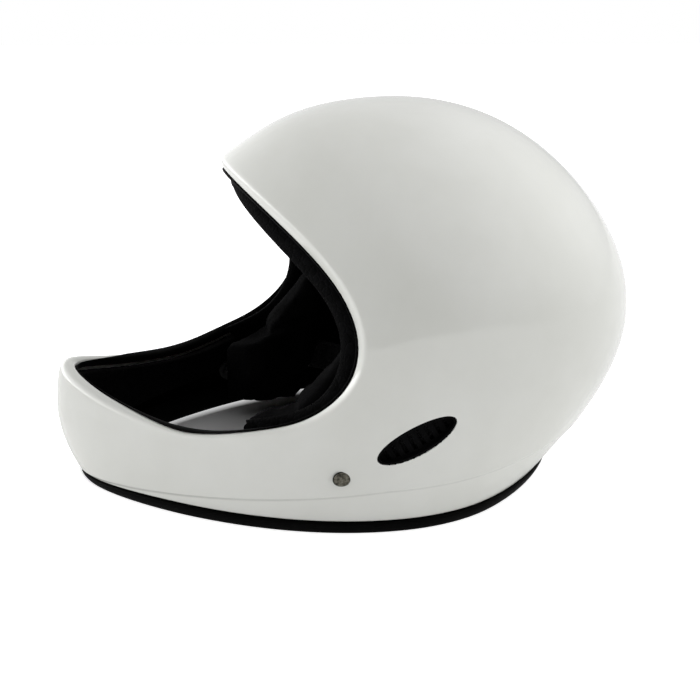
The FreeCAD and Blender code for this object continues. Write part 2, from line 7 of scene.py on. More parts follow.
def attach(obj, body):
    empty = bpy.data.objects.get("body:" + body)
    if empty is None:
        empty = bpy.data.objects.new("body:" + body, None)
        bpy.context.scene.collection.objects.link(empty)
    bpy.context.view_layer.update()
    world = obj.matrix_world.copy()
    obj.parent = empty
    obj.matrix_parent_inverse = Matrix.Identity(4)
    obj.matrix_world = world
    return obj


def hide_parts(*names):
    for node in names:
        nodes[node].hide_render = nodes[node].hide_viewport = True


# Full-face water helmet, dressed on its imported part. The helmet faces -Y and stands on its neck trim.
# Blender works in metres; the shell's form below is written in millimetres, as a mould maker has it.

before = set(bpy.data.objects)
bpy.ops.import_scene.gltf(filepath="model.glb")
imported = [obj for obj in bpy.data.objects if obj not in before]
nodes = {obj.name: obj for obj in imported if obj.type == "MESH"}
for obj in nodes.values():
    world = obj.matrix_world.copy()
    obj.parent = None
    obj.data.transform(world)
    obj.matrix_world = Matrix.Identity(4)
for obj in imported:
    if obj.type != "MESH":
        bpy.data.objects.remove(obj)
bpy.context.view_layer.update()
mm = 0.001
print("frame loaded", len(nodes), "nodes")


# Small helpers for objects

def deselectAll():
    if bpy.context.object and bpy.context.object.mode != "OBJECT":
        bpy.ops.object.mode_set(mode="OBJECT")
    bpy.ops.object.select_all(action="DESELECT")


def pick(piece):
    deselectAll()
    piece.select_set(True)
    bpy.context.view_layer.objects.active = piece


def takeNew(name):
    piece = bpy.context.object
    piece.name = name
    piece.data.name = name
    return piece


def settlePlace(piece):  # place, turn and size go into the mesh
    pick(piece)
    bpy.ops.object.transform_apply(location=True, rotation=True, scale=True)


def modify(piece, kind, **settings):
    modifier = piece.modifiers.new(kind.title(), kind)
    for name, value in settings.items():
        setattr(modifier, name, value)
    pick(piece)
    bpy.ops.object.modifier_apply(modifier=modifier.name)


def inEditMode(piece, work):
    pick(piece)
    bpy.ops.object.mode_set(mode="EDIT")
    bpy.ops.mesh.select_all(action="SELECT")
    work()
    bpy.ops.object.mode_set(mode="OBJECT")


def faceOutwards(piece):
    inEditMode(piece, lambda: bpy.ops.mesh.normals_make_consistent(inside=False))


def smoothShade(piece, degrees=40):
    pick(piece)
    bpy.ops.object.shade_smooth_by_angle(angle=math.radians(degrees))


def readRows(items, name):
    rows = np.empty(len(items) * 3)
    items.foreach_get(name, rows)
    return rows.reshape(-1, 3)


def readPoints(piece):
    return readRows(piece.data.vertices, "co")


def writePoints(piece, points):
    piece.data.vertices.foreach_set("co", np.ascontiguousarray(points, dtype=np.float32).reshape(-1))
    piece.data.update()


def finishPiece(piece, body, material, replaced=()):
    piece.data.materials.clear()
    piece.data.materials.append(material)
    if replaced:
        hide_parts(*replaced)
    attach(piece, body)


# Materials

def linear(hexText):
    shares = [int(hexText[k:k + 2], 16) / 255 for k in (1, 3, 5)]
    return [s / 12.92 if s <= 0.04045 else ((s + 0.055) / 1.055) ** 2.4 for s in shares] + [1.0]


def addNode(material, kind, inputs={}, **settings):
    node = material.node_tree.nodes.new(kind)
    for name, value in settings.items():
        setattr(node, name, value)
    for name, value in inputs.items():
        if isinstance(value, bpy.types.NodeSocket):
            material.node_tree.links.new(value, node.inputs[name])
        else:
            node.inputs[name].default_value = value
    return node


def startMaterial(name, **inputs):
    material = bpy.data.materials.new(name)
    material.use_nodes = True
    shader = material.node_tree.nodes["Principled BSDF"]
    for title, value in inputs.items():
        shader.inputs[title.replace("_", " ")].default_value = value
    place = addNode(material, "ShaderNodeTexCoord").outputs["Object"]
    return material, shader, place


def join(material, output, node, name):
    material.node_tree.links.new(output, node.inputs[name])


def ramped(material, value, spread, low, high):  # one colour turns into the other over this spread
    ramp = addNode(material, "ShaderNodeValToRGB", {"Fac": value})
    for element, position, tint in zip(ramp.color_ramp.elements, spread, (low, high)):
        element.position = position
        element.color = linear(tint)
    return ramp.outputs["Color"]


def ranged(material, value, spread, results, kind="LINEAR"):
    inputs = {"Value": value, "From Min": spread[0], "From Max": spread[1], "To Min": results[0],
              "To Max": results[1]}
    return addNode(material, "ShaderNodeMapRange", inputs, interpolation_type=kind).outputs["Result"]


def mixed(material, share, low, high, kind="RGBA"):
    inputs = {"Factor": share, "A": low, "B": high}
    return addNode(material, "ShaderNodeMix", inputs, data_type=kind).outputs["Result"]


def reckoned(material, operation, *values):
    return addNode(material, "ShaderNodeMath", dict(enumerate(values)), operation=operation).outputs["Value"]


def lengthOf(material, vector):
    return addNode(material, "ShaderNodeVectorMath", {0: vector}, operation="LENGTH").outputs["Value"]


def partsOf(material, vector):
    return addNode(material, "ShaderNodeSeparateXYZ", {"Vector": vector}).outputs


def noise(material, place, size, detail, **more):
    inputs = {"Vector": place, "Scale": 1 / size, "Detail": detail, **more}
    return addNode(material, "ShaderNodeTexNoise", inputs).outputs["Fac"]


def cells(material, place, size, feature="F1", output="Distance"):
    node = addNode(material, "ShaderNodeTexVoronoi", {"Vector": place, "Scale": 1 / size}, feature=feature)
    return node.outputs[output]


def blotches(material, place, look):  # two colours mixed by a noise of a real size
    spots = noise(material, place, look["blotch"], look.get("detail", 4.0))
    return ramped(material, spots, (0.35, 0.65), look["dark"], look["light"])


def colour(material, shader, place, look):
    join(material, blotches(material, place, look), shader, "Base Color")


def raised(material, shader, height, distance, strength):  # relief, on top of any that is there
    inputs = {"Height": height, "Distance": distance, "Strength": strength}
    bump = addNode(material, "ShaderNodeBump", inputs)
    for under in [link.from_socket for link in shader.inputs["Normal"].links]:
        join(material, under, bump, "Normal")
    join(material, bump.outputs["Normal"], shader, "Normal")


gelcoatLook = {
    "light": "#e9eae5", "dark": "#e2e3dd",  # slightly warm, slightly green white
    "blotch": 60 * mm, "detail": 6.0,
    "orangePeel": 2.2 * mm, "peelHeight": 0.006 * mm,
    "laminate": 34 * mm, "laminateHeight": 0.10 * mm,  # long waves that the mould leaves
    "scuff": 9 * mm, "polished": 0.1, "worn": 0.22,
    # painted shade: a dark line along the groove under the break, with how strong it is at a place ahead and
    # at one behind
    "creaseShadeTint": "#55564f", "creaseShadeWidth": 1.1 * mm, "creaseShadeSpan": (-0.12, 0.1), "creaseShadeShares": (0.3, 0.05),
}


def creaseShadeShare(material, place):  # painted shade: a thin dark line in the groove under the break, stronger ahead
    look = gelcoatLook
    parts = partsOf(material, place)
    ahead = reckoned(material, "MINIMUM", parts["Y"], 0.0)
    behind = reckoned(material, "MAXIMUM", parts["Y"], 0.0)
    middle = (form["breakHeight"] - form["grooveDrop"]) * mm
    level = reckoned(material, "MULTIPLY_ADD", behind, form["breakBehind"], middle)
    line = reckoned(material, "MULTIPLY_ADD", ahead, form["breakAhead"], level)
    far = reckoned(material, "ABSOLUTE", reckoned(material, "SUBTRACT", parts["Z"], line))
    near = ranged(material, far, (0.0, look["creaseShadeWidth"]), (1.0, 0.0), "SMOOTHSTEP")
    most = ranged(material, parts["Y"], look["creaseShadeSpan"], look["creaseShadeShares"])
    return reckoned(material, "MULTIPLY", near, most)


def makeGelcoat():  # polyester gelcoat from a polished mould: a hard wet gloss over a dense white
    look = gelcoatLook
    material, shader, place = startMaterial("polishedGelcoat", IOR=1.54, Coat_Weight=0.35,
                                            Coat_Roughness=0.04)
    clean = blotches(material, place, look)
    # painted shade: the base colour darkens towards this tint along the groove under the break
    shaded = mixed(material, creaseShadeShare(material, place), clean, linear(look["creaseShadeTint"]))
    join(material, shaded, shader, "Base Color")
    raised(material, shader, noise(material, place, look["orangePeel"], 2.0), look["peelHeight"], 1.0)
    raised(material, shader, noise(material, place, look["laminate"], 1.0), look["laminateHeight"], 1.0)
    scuffs = noise(material, place, look["scuff"], 8.0, Roughness=0.7)
    worn = ranged(material, scuffs, (0.45, 0.8), (look["polished"], look["worn"]))
    join(material, worn, shader, "Roughness")
    return material


blackSheen = 0.03  # these blacks hardly shine: the specular level of carbon-filled rubber and of knit
rubberLook = {
    "light": "#050505", "dark": "#020202", "blotch": 14 * mm, "grain": 0.7 * mm, "grainHeight": 0.03 * mm,
}


def makeRubber(name, roughness):  # moulded EPDM edging: deep black with a soft sheen and a fine moulded skin
    material, shader, place = startMaterial(name, IOR=1.52, Specular_IOR_Level=blackSheen)
    colour(material, shader, place, rubberLook)
    grain = noise(material, place, rubberLook["grain"], 3.0)
    raised(material, shader, grain, rubberLook["grainHeight"], 0.6)
    spread = ranged(material, grain, (0, 1), (roughness - 0.08, roughness + 0.08))
    join(material, spread, shader, "Roughness")
    return material


beadLook = {"light": "#0b0b0c", "dark": "#030303", "bead": 3.6 * mm, "beadHeight": 0.35 * mm, "rim": 0.16}


def makeBeadFoam():  # moulded expanded polystyrene, black: matt, with beads pressed flat against the mould
    look = beadLook
    material, shader, place = startMaterial("mouldedBeadFoam", IOR=1.5, Roughness=0.85,
                                            Specular_IOR_Level=blackSheen)
    rims = cells(material, place, look["bead"], "DISTANCE_TO_EDGE")
    soft = ranged(material, rims, (0, look["rim"]), (0, 1), "SMOOTHSTEP")
    tint = cells(material, place, look["bead"], output="Color")
    join(material, mixed(material, tint, linear(look["dark"]), linear(look["light"])), shader, "Base Color")
    raised(material, shader, soft, look["beadHeight"], 0.7)
    return material


clothLook = {
    "light": "#0e0e0f", "dark": "#050505", "blotch": 26 * mm, "detail": 8.0,
    "loop": 1.5 * mm, "loopHeight": 0.22 * mm, "sheen": "#3a3a3e",
}


def makePadCloth():  # brushed knit over soft foam: matt black with a faint velvet edge and small knit loops
    look = clothLook
    material, shader, place = startMaterial("brushedKnit", IOR=1.46, Roughness=0.95, Sheen_Weight=0.1,
                                            Sheen_Roughness=0.5, Specular_IOR_Level=blackSheen)
    shader.inputs["Sheen Tint"].default_value = linear(look["sheen"])
    colour(material, shader, place, look)
    raised(material, shader, cells(material, place, look["loop"], "SMOOTH_F1"), -look["loopHeight"], 0.8)
    return material


neopreneLook = {
    "light": "#111113", "dark": "#070708", "blotch": 18 * mm, "rib": 1.3 * mm, "ribHeight": 0.12 * mm,
}


def makeNeoprene():  # nylon-faced neoprene: soft black with a tiny jersey rib
    look = neopreneLook
    material, shader, place = startMaterial("nylonFacedNeoprene", IOR=1.5, Roughness=0.75, Sheen_Weight=0.08,
                                            Specular_IOR_Level=0.2)
    colour(material, shader, place, look)
    raised(material, shader, cells(material, place, look["rib"]), -look["ribHeight"], 0.7)
    return material


weaveLook = {"light": "#1c1c1e", "dark": "#070708", "yarn": 1.1 * mm, "yarnHeight": 0.22 * mm}


def makeWebbing():  # woven polyester webbing: slanting yarns over and under each other, with a slight sheen
    look = weaveLook
    material, shader, _ = startMaterial("wovenPolyester", IOR=1.55, Roughness=0.6, Sheen_Weight=0.1)
    flat = addNode(material, "ShaderNodeUVMap").outputs["UV"]  # the UVs are metres along and across
    slant = addNode(material, "ShaderNodeMapping", {"Vector": flat, "Scale": (1 / look["yarn"],) * 3,
                                                    "Rotation": (0, 0, math.radians(45))}).outputs["Vector"]
    checks = addNode(material, "ShaderNodeTexChecker", {"Vector": slant, "Scale": 1.0}).outputs["Fac"]
    along, across = (addNode(material, "ShaderNodeTexWave", {"Vector": slant, "Scale": math.pi / 10},
                             bands_direction=way).outputs["Fac"] for way in "XY")
    yarns = mixed(material, checks, along, across, "FLOAT")
    join(material, mixed(material, yarns, linear(look["dark"]), linear(look["light"])), shader, "Base Color")
    raised(material, shader, yarns, look["yarnHeight"], 0.9)
    return material


plasticLook = {
    "light": "#0a0a0b", "dark": "#050505", "blotch": 12 * mm, "grain": 0.6 * mm, "grainHeight": 0.03 * mm,
}


def makeBlackPlastic(name, roughness, sheen):  # moulded nylon, spark-eroded: matt black, tiny even grain
    material, shader, place = startMaterial(name, IOR=1.53, Specular_IOR_Level=sheen)
    colour(material, shader, place, plasticLook)
    grain = cells(material, place, plasticLook["grain"])
    raised(material, shader, grain, plasticLook["grainHeight"], 0.7)
    spread = ranged(material, grain, (0, 1), (roughness - 0.06, roughness + 0.08))
    join(material, spread, shader, "Roughness")
    return material


steelLook = {
    "light": "#a7a8a6", "dark": "#7d7e7b", "blotch": 3 * mm, "brush": 0.35 * mm, "brushHeight": 0.03 * mm,
}
rivetLook = dict(steelLook, light="#7c796e", dark="#3f3d36", blotch=1.6 * mm)


def makeSteel(name, look):  # stainless steel, tumbled: dull grey with faint turned rings round the rivet
    material, shader, place = startMaterial(name, Metallic=1.0)
    colour(material, shader, place, look)
    middle = (0, -rivetPlace[0] * mm, -rivetPlace[1] * mm)
    flat = {"Vector": place, "Location": middle, "Scale": (0, 1, 1)}
    centred = addNode(material, "ShaderNodeMapping", flat)
    inputs = {"W": lengthOf(material, centred.outputs["Vector"]), "Scale": 1 / look["brush"], "Detail": 2.0}
    rings = addNode(material, "ShaderNodeTexNoise", inputs, noise_dimensions="1D").outputs["Fac"]
    raised(material, shader, rings, look["brushHeight"], 0.5)
    join(material, ranged(material, rings, (0, 1), (0.34, 0.55)), shader, "Roughness")
    return material


ventFoamLook = {"wall": "#121213", "hollowShade": "#020202", "cell": 1.4 * mm, "depth": 0.8 * mm}


def makeVentFoam():  # reticulated filter foam behind the vents: open cells that read as nearly black, their hollows darkened as painted shade
    look = ventFoamLook
    material, shader, place = startMaterial("reticulatedFoam", Roughness=1.0, IOR=1.45)
    walls = cells(material, place, look["cell"], "DISTANCE_TO_EDGE")
    # painted shade: the middles of the cells are darker than their walls
    join(material, ramped(material, walls, (0.05, 0.2), look["wall"], look["hollowShade"]), shader, "Base Color")
    raised(material, shader, walls, -look["depth"], 1.0)
    return material


primerLook = {
    "light": "#070707", "dark": "#020202", "blotch": 9 * mm, "weave": 1.2 * mm, "weaveHeight": 0.1 * mm,
}


def makeInnerPaint():  # black primer brushed on the laminate: dull, with the cloth showing through
    look = primerLook
    material, shader, place = startMaterial("brushedBlackPrimer", IOR=1.5, Roughness=0.8,
                                            Specular_IOR_Level=blackSheen)
    colour(material, shader, place, look)
    raised(material, shader, noise(material, place, look["weave"], 3.0), look["weaveHeight"], 0.6)
    return material


threadLook = {"light": "#1b1b1d", "dark": "#0c0c0d", "blotch": 0.8 * mm}


def makeThread():  # bonded nylon thread: smooth black with a slight shine
    material, shader, place = startMaterial("bondedNylonThread", IOR=1.53, Roughness=0.4,
                                            Specular_IOR_Level=0.35)
    colour(material, shader, place, threadLook)
    return material


# The shell's form, in millimetres

form = {
    "halfWidth": 121.5,
    "centre": (27.5, 91.0),
    "radii": [139, 130, 122, 118, 115, 114, 121, 123, 147, 182, 204, 237, 242, 219, 177, 137, 125, 131],
    "narrowing": 0.33, "narrowingStart": 27.5, "narrowingLength": 150.0,
    "breakHeight": 27.0, "breakAhead": 0.14, "breakBehind": 0.05, "breakLean": 0.11,
    # the wall steps in under the break, past a narrow groove that is deeper ahead
    "breakStep": 0.35, "breakWidth": 1.6, "breakClear": 6,
    "groove": 0.08, "grooveAhead": 0.55, "grooveWidth": 0.7, "grooveDrop": 0.8,
    "tuckHeight": 45.0, "tuckRate": 0.007, "tuckFullAt": -100.0, "footFullness": 0.7,
    "faceCentre": (-67.5, 105.0),
    "faceRadii": [56, 54.5, 52, 53, 59.8, 76.5, 105, 125, 135, 125, 104, 78.8, 65.5, 54.5, 49.7, 50.9, 52.5,
                  56],
    "edgeHeight": 6.6, "napeStart": 50.0, "napeRise": 0.06,
    "edgeThinning": 3.8, "napeThin": 75.0, "chinThinStart": -95.0, "chinThin": 65.0,
    "spine": (0.0, -52.5, 62.0), "lean": math.radians(45),
    "wall": 2.6, "lipBrow": 7.0, "lipChin": 9.4,
    # the lip's section, back and inwards: shares of its depth, and behind the roll millimetres as well
    "lipBack": [((0.9, 3), (0, 3.2)), ((0.5, 3), (0.6, 0)), ((0.45, 2.7), (1, 0))],
    "lipCrisp": [(0.45, 1), (0.15, 0.7), (0.12, 0.3), (0.16, 0.03), (0.55, 0)],
    "lipRound": [(0.45, 1), (0.12, 0.7), (0.1, 0.3), (0.35, 0.06), (0.9, 0)],
    "linerInset": 3.2, "linerSide": 16.5, "linerChange": 7.0,
}
pageCount = 72
skinSteps = 61
halvings = 26
farOut = 420.0  # outside the skin, from the spine
poleGap = 0.02  # how near to the spine a search along a page begins, in radians


def outlineRadius(radii, angle):  # closed smooth outline through evenly spaced radii
    radii = np.array(radii, float)
    place = angle / (2 * math.pi) * len(radii)
    first = np.floor(place).astype(int)
    u = place - first
    weights = ((1 - u) ** 3, 3 * u ** 3 - 6 * u ** 2 + 4, 3 * (u + u ** 2 - u ** 3) + 1, u ** 3)
    return sum(w * radii[(first - 1 + k) % len(radii)] for k, w in enumerate(weights)) / 6


def breakLine(y):  # how high the moulded break runs
    rise = form["breakAhead"] * np.minimum(0, y) + form["breakBehind"] * np.maximum(0, y)
    return form["breakHeight"] + rise


def formLevel(points, inset):  # below 1 inside the form
    x, y, z = points[:, 0], points[:, 1], points[:, 2]
    back, up = y - form["centre"][0], z - form["centre"][1]
    below = breakLine(y) - z
    front = np.clip(y / form["tuckFullAt"], 0, 1)
    inGroove = np.exp(-((below - form["grooveDrop"]) / form["grooveWidth"]) ** 2)
    lean = form["breakLean"] * np.maximum(0, below)
    lean += form["breakStep"] * np.clip(below / form["breakWidth"], 0, 1)
    lean += (form["groove"] + form["grooveAhead"] * front) * inGroove
    low = np.clip(form["tuckHeight"] - z, 0, form["tuckHeight"])
    tucked = form["tuckRate"] * np.maximum(0, form["tuckHeight"] - z) ** 2 * front
    roundness = 2 + form["footFullness"] * low / form["tuckHeight"] * front
    reach = outlineRadius(form["radii"], np.arctan2(up, back)) - inset - lean - tucked
    ahead = np.maximum(0, form["narrowingStart"] - y) / form["narrowingLength"]
    width = form["halfWidth"] * (1 - form["narrowing"] * ahead ** 2) - inset - lean
    return np.abs(x / width) ** roundness + (back ** 2 + up ** 2) / reach ** 2


def pastFace(points):  # how far outside the face opening, in the side view
    back, up = points[:, 1] - form["faceCentre"][0], points[:, 2] - form["faceCentre"][1]
    return np.hypot(back, up) - outlineRadius(form["faceRadii"], np.arctan2(up, back))


def edgeRise(y):
    return form["napeRise"] * np.maximum(0, y - form["napeStart"])


def belowNeck(points):  # the edge comes lower at the nape and at the chin, where the trim is thinner
    y = points[:, 1]
    nape = np.maximum(0, y - form["napeStart"]) / form["napeThin"]
    chin = np.maximum(0, form["chinThinStart"] - y) / form["chinThin"]
    return points[:, 2] < form["edgeHeight"] + edgeRise(y) - form["edgeThinning"] * (nape ** 2 + chin ** 2)


def halve(test, holds, fails):
    for _ in range(halvings):
        middle = (holds + fails) / 2
        passed = test(middle)
        holds = np.where(passed, middle, holds)
        fails = np.where(passed, fails, middle)
    return (holds + fails) / 2


spinePoint = np.array(form["spine"])


def reachOf(ways, inset):  # how far each way goes from the spine to the skin
    start = np.zeros(len(ways))
    return halve(lambda t: formLevel(spinePoint + ways * t[:, None], inset) < 1, start, start + farOut)


class Pages:  # half planes about the spine, one for each turn
    def __init__(self, turns):
        self.turns = np.array(turns, float)
        lean = form["lean"]
        self.faceWay = np.array([0, -math.cos(lean), math.sin(lean)])
        ahead = np.cos(self.turns)
        self.outWays = np.stack([np.sin(self.turns), math.sin(lean) * ahead, math.cos(lean) * ahead], axis=1)
        start = np.full(len(self.turns), poleGap)
        end = np.full(len(self.turns), math.pi - poleGap)
        atFace = halve(lambda a: pastFace(self.at(a, 0)) < 0, start, end)
        atNeck = halve(lambda a: belowNeck(self.at(a, 0)), end, atFace)
        self.angles = atFace[:, None] + (atNeck - atFace)[:, None] * np.linspace(0, 1, skinSteps)[None, :]
        self.skin = np.stack([self.at(self.angles[:, k], 0) for k in range(skinSteps)], axis=1)
        steps = np.linalg.norm(np.diff(self.skin, axis=1), axis=2)
        self.lengths = np.concatenate([np.zeros((len(self.turns), 1)), np.cumsum(steps, axis=1)], axis=1)

    def at(self, angle, inset):
        ways = self.faceWay * np.cos(angle)[:, None] + self.outWays * np.sin(angle)[:, None]
        return spinePoint + ways * reachOf(ways, inset)[:, None]

    def point(self, share, offset, inset):
        run = share * self.lengths[:, -1] + offset
        k = np.clip((self.lengths < run[:, None]).sum(axis=1) - 1, 0, skinSteps - 2)
        rows = np.arange(len(k))
        part = (run - self.lengths[rows, k]) / (self.lengths[rows, k + 1] - self.lengths[rows, k])
        angle = self.angles[rows, k] + part * (self.angles[rows, k + 1] - self.angles[rows, k])
        return self.at(angle, inset)

    def span(self, inset, start, end, steps):
        shares = np.linspace(0, 1, steps)
        return [self.point(s, start * (1 - s) + end * s, inset) for s in shares]


def ringPiece(name, columns, levels):  # a torus whose section takes these columns of points
    net = np.stack(columns, axis=1) * mm
    deselectAll()
    bpy.ops.mesh.primitive_torus_add(major_segments=net.shape[0], minor_segments=net.shape[1],
                                     generate_uvs=False)
    piece = takeNew(name)
    writePoints(piece, net.reshape(-1, 3))
    faceOutwards(piece)
    modify(piece, "SUBSURF", levels=levels, render_levels=levels)
    return piece


def breakRun():  # how far along each page the moulded break lies, kept clear of both edges
    runs = []
    for lengths, skin in zip(pages.lengths, pages.skin):
        over = skin[:, 2] - breakLine(skin[:, 1])
        crossing = np.flatnonzero((over[:-1] > 0) & (over[1:] <= 0))
        if len(crossing):
            k = crossing[-1]
            runs.append(lengths[k] + (lengths[k + 1] - lengths[k]) * over[k] / (over[k] - over[k + 1]))
        else:
            runs.append(lengths[-1])
    return np.minimum(np.array(runs), pages.lengths[:, -1] - form["breakClear"])


pages = Pages([2 * math.pi * k / pageCount for k in range(pageCount)])
chinShare = ((1 - np.cos(pages.turns)) / 2) ** 2  # 0 at the brow, 1 at the chin
lipDepth = form["lipBrow"] + (form["lipChin"] - form["lipBrow"]) * chinShare
print("form ready")


# Openings in the shell

earVent = {"centre": (13.2, 54.2), "length": 42.5, "height": 15.5, "tilt": 29.5}
napeVent = {"centre": (0, 150, 92.0), "size": (56.6, 60, 36.6), "corner": 9.3, "segments": 8}
rivetPlace = (-21.8, 34.0)


def earCutter():  # oval bar through both sides
    deselectAll()
    bpy.ops.mesh.primitive_cylinder_add(vertices=128, radius=1, depth=0.4)
    cutter = takeNew("earCutter")
    centre = Matrix.Translation((0, earVent["centre"][0] * mm, earVent["centre"][1] * mm))
    turn = Matrix.Rotation(math.radians(earVent["tilt"]), 4, "X") @ Matrix.Rotation(math.pi / 2, 4, "Y")
    size = Matrix.Diagonal((earVent["height"] / 2 * mm, earVent["length"] / 2 * mm, 1, 1))
    cutter.matrix_world = centre @ turn @ size
    settlePlace(cutter)
    return cutter


def napeCutter():  # block with its edges along Y rounded
    size = [s * mm for s in napeVent["size"]]
    deselectAll()
    bpy.ops.mesh.primitive_cube_add(size=1, location=[c * mm for c in napeVent["centre"]], scale=size)
    block = takeNew("napeCutter")
    settlePlace(block)
    pick(block)
    bpy.ops.object.mode_set(mode="EDIT")
    bpy.ops.mesh.select_mode(type="EDGE")
    bpy.ops.mesh.select_all(action="DESELECT")
    bpy.ops.object.mode_set(mode="OBJECT")
    for edge in block.data.edges:
        a, b = (block.data.vertices[v].co for v in edge.vertices)
        edge.select = abs(a.y - b.y) > 0.5 * size[1]
    bpy.ops.object.mode_set(mode="EDIT")
    bpy.ops.mesh.bevel(offset=napeVent["corner"] * mm, segments=napeVent["segments"], affect="EDGES")
    bpy.ops.object.mode_set(mode="OBJECT")
    return block


def cutWith(piece, cutter):
    modify(piece, "BOOLEAN", operation="DIFFERENCE", solver="EXACT", object=cutter)
    bpy.data.objects.remove(cutter)


# Shell: moulded laminate with a rolled lip round the face

shellLook = {
    # the outer side: this many columns from the lip, which ends at this share of its depth, to the first
    # place by the break, then the other places across the break, then shares of what is left to the edge
    "lipEnd": 1.6, "columns": 22, "across": (-3, -1.2, -0.3, 0.4, 1.0, 1.7, 2.8), "after": (0.3, 0.6),
    "neck": ((-1, 0.2), (0, 0.9), (0, 1.8), (-1, 2.4)),  # along and inwards round the edge
    "inner": (3, -7),  # where the inner side begins past the lip and where it ends before the edge
    "paintInset": 1.6, "paintClear": 9,
}


def shellColumns():
    deep = lipDepth
    lipEnd = shellLook["lipEnd"] * deep
    crease = breakRun()
    before = crease + shellLook["across"][0]
    shares = np.linspace(0, 1, shellLook["columns"])
    outer = [pages.point(0, lipEnd + (before - lipEnd) * t, 0) for t in shares]
    outer += [pages.point(0, crease + along, 0) for along in shellLook["across"][1:]]
    after = crease + shellLook["across"][-1]
    rest = pages.lengths[:, -1] + shellLook["neck"][0][0] - after
    outer += [pages.point(0, after + rest * t, 0) for t in shellLook["after"]]
    first, last = shellLook["inner"]
    inner = pages.span(form["wall"], lipEnd + first, last, shellLook["columns"])
    neck = [pages.point(1, along, inwards) for along, inwards in shellLook["neck"]]
    lip = [pages.point(0, back[0] * deep + back[1], inwards[0] * deep + inwards[1])
           for back, inwards in form["lipBack"]]
    for crisp, rolled in zip(form["lipCrisp"], form["lipRound"]):  # crisp at the brow, rolled at the chin
        back = crisp[0] + (rolled[0] - crisp[0]) * chinShare
        inwards = crisp[1] + (rolled[1] - crisp[1]) * chinShare
        lip.append(pages.point(0, back * deep, inwards * deep))
    return outer + neck + inner[::-1] + lip


def paintInside(piece):  # faces on the inner side, clear of the lip, take the primer
    piece.data.materials.append(makeInnerPaint())
    centres = readRows(piece.data.polygons, "center") / mm
    inner = (formLevel(centres, shellLook["paintInset"]) < 1) & (pastFace(centres) > shellLook["paintClear"])
    piece.data.polygons.foreach_set("material_index", inner.astype(np.int32))
    piece.data.update()


shell = ringPiece("shellVisual", shellColumns(), 2)
cutWith(shell, earCutter())
cutWith(shell, napeCutter())
smoothShade(shell, 35)
finishPiece(shell, "helmet", makeGelcoat(), ["outer_shell"])
paintInside(shell)
print("shell done", len(shell.data.polygons))


# Edge trims

trimLook = {
    # places round the lip's roll, back and inwards as shares of its depth, and the way outwards at each
    "places": [(0.16, 0.2), (0.1, 0.4), (0.12, 0.7), (0.45, 1), (0.9, 1)],
    "ways": [(-0.8, -0.6), (-1, 0), (-0.95, 0.3), (-0.45, 0.9), (0, 1)],
    "starts": [2.2, 2.2, 2.2, 2.2, 2.2, 2.2, 1.9, 0.9, 0, 1.2, 2.3, 3.0, 3.4],  # from the brow to the chin
    "clear": 0.3, "proud": 1.3, "columns": 5,
    "outside": [(-1.6, -0.6), (1.7, -0.6), (1.9, -2.0), (1.2, -4.2)],
    "foot": [(-0.2, 0), (-2.6, 0), (-4.6, 0), (-6.6, 0), (-8.2, 1.6)],
    "inside": [(-8.4, 1.0), (-8.2, 5.5), (-6.8, 7.2), (-4.2, 7.2), (-2.9, 5.5), (-2.7, 1.5)],
    "shave": 0.4,
}


def neckColumns():
    edge = pages.point(1, np.zeros(pageCount), form["wall"] / 2)
    out = pages.point(1, np.zeros(pageCount), 0) - edge
    out[:, 2] = 0
    out /= np.linalg.norm(out, axis=1)[:, None]
    base = edgeRise(edge[:, 1]) - trimLook["shave"]
    height = (edge[:, 2] - base) / (form["edgeHeight"] + trimLook["shave"])
    places = [(o, edge[:, 2] + up * height) for o, up in trimLook["outside"]]
    places += [(o, base + up) for o, up in trimLook["foot"]]
    places += [(o, edge[:, 2] + up) for o, up in trimLook["inside"]]
    columns = []
    for o, height in places:
        column = edge + out * o
        column[:, 2] = height
        columns.append(column)
    return columns


def faceTrimColumns():  # from a start on the roll to the back of its inner side
    turn = np.minimum(pages.turns, 2 * math.pi - pages.turns)
    starts = trimLook["starts"]
    start = np.interp(turn / math.pi * (len(starts) - 1), np.arange(len(starts)), starts)
    last = len(trimLook["places"]) - 1
    stops = [start + (last - start) * t for t in np.linspace(0, 1, trimLook["columns"])]
    lists = list(zip(*[place + way for place, way in zip(trimLook["places"], trimLook["ways"])]))
    columns = []
    for stop, off in [(s, trimLook["clear"]) for s in stops] + [(s, trimLook["proud"]) for s in stops[::-1]]:
        back, inwards, backWay, inWay = (np.interp(stop, np.arange(last + 1), values) for values in lists)
        columns.append(pages.point(0, back * lipDepth + backWay * off, inwards * lipDepth + inWay * off))
    return columns


faceTrim = ringPiece("faceTrimVisual", faceTrimColumns(), 2)
smoothShade(faceTrim, 60)
finishPiece(faceTrim, "helmet", makeRubber("mouldedFaceEdging", 0.55), ["face_trim"])
neckTrim = ringPiece("neckTrimVisual", neckColumns(), 2)
settled = readPoints(neckTrim)
settled[:, 2] = np.maximum(settled[:, 2], 0)  # its foot is flat where it stands
writePoints(neckTrim, settled)
smoothShade(neckTrim, 60)
finishPiece(neckTrim, "helmet", makeRubber("mouldedNeckEdging", 0.5), ["neck_trim"])
print("trims done")


# Carried-over CAD nodes with their materials

beadFoam = makeBeadFoam()
blackPlastic = makeBlackPlastic("sparkErodedNylon", 0.5, 0.35)
ventPlastic = makeBlackPlastic("dullVentNylon", 0.8, 0.05)
strapSteel = makeSteel("tumbledStainless", steelLook)
rivetSteel = makeSteel("oxidisedRivetSteel", rivetLook)
ventFoam = makeVentFoam()
padCloth = makePadCloth()
neoprene = makeNeoprene()
webbingCloth = makeWebbing()
threadCloth = makeThread()
nodeMaterials = {
    "liner": beadFoam, "grille": ventPlastic, "ear_foam": ventFoam, "studs": blackPlastic,
    "sockets": blackPlastic, "washer": strapSteel,
}
for name, node in nodes.items():
    found = [material for word, material in nodeMaterials.items() if word in name]
    if found and not node.hide_render:
        node.material_slots[0].material = found[0]
print("nodes painted")


# Padded pieces: each starts as a copy of its plain solid, is remeshed, filled and quilted

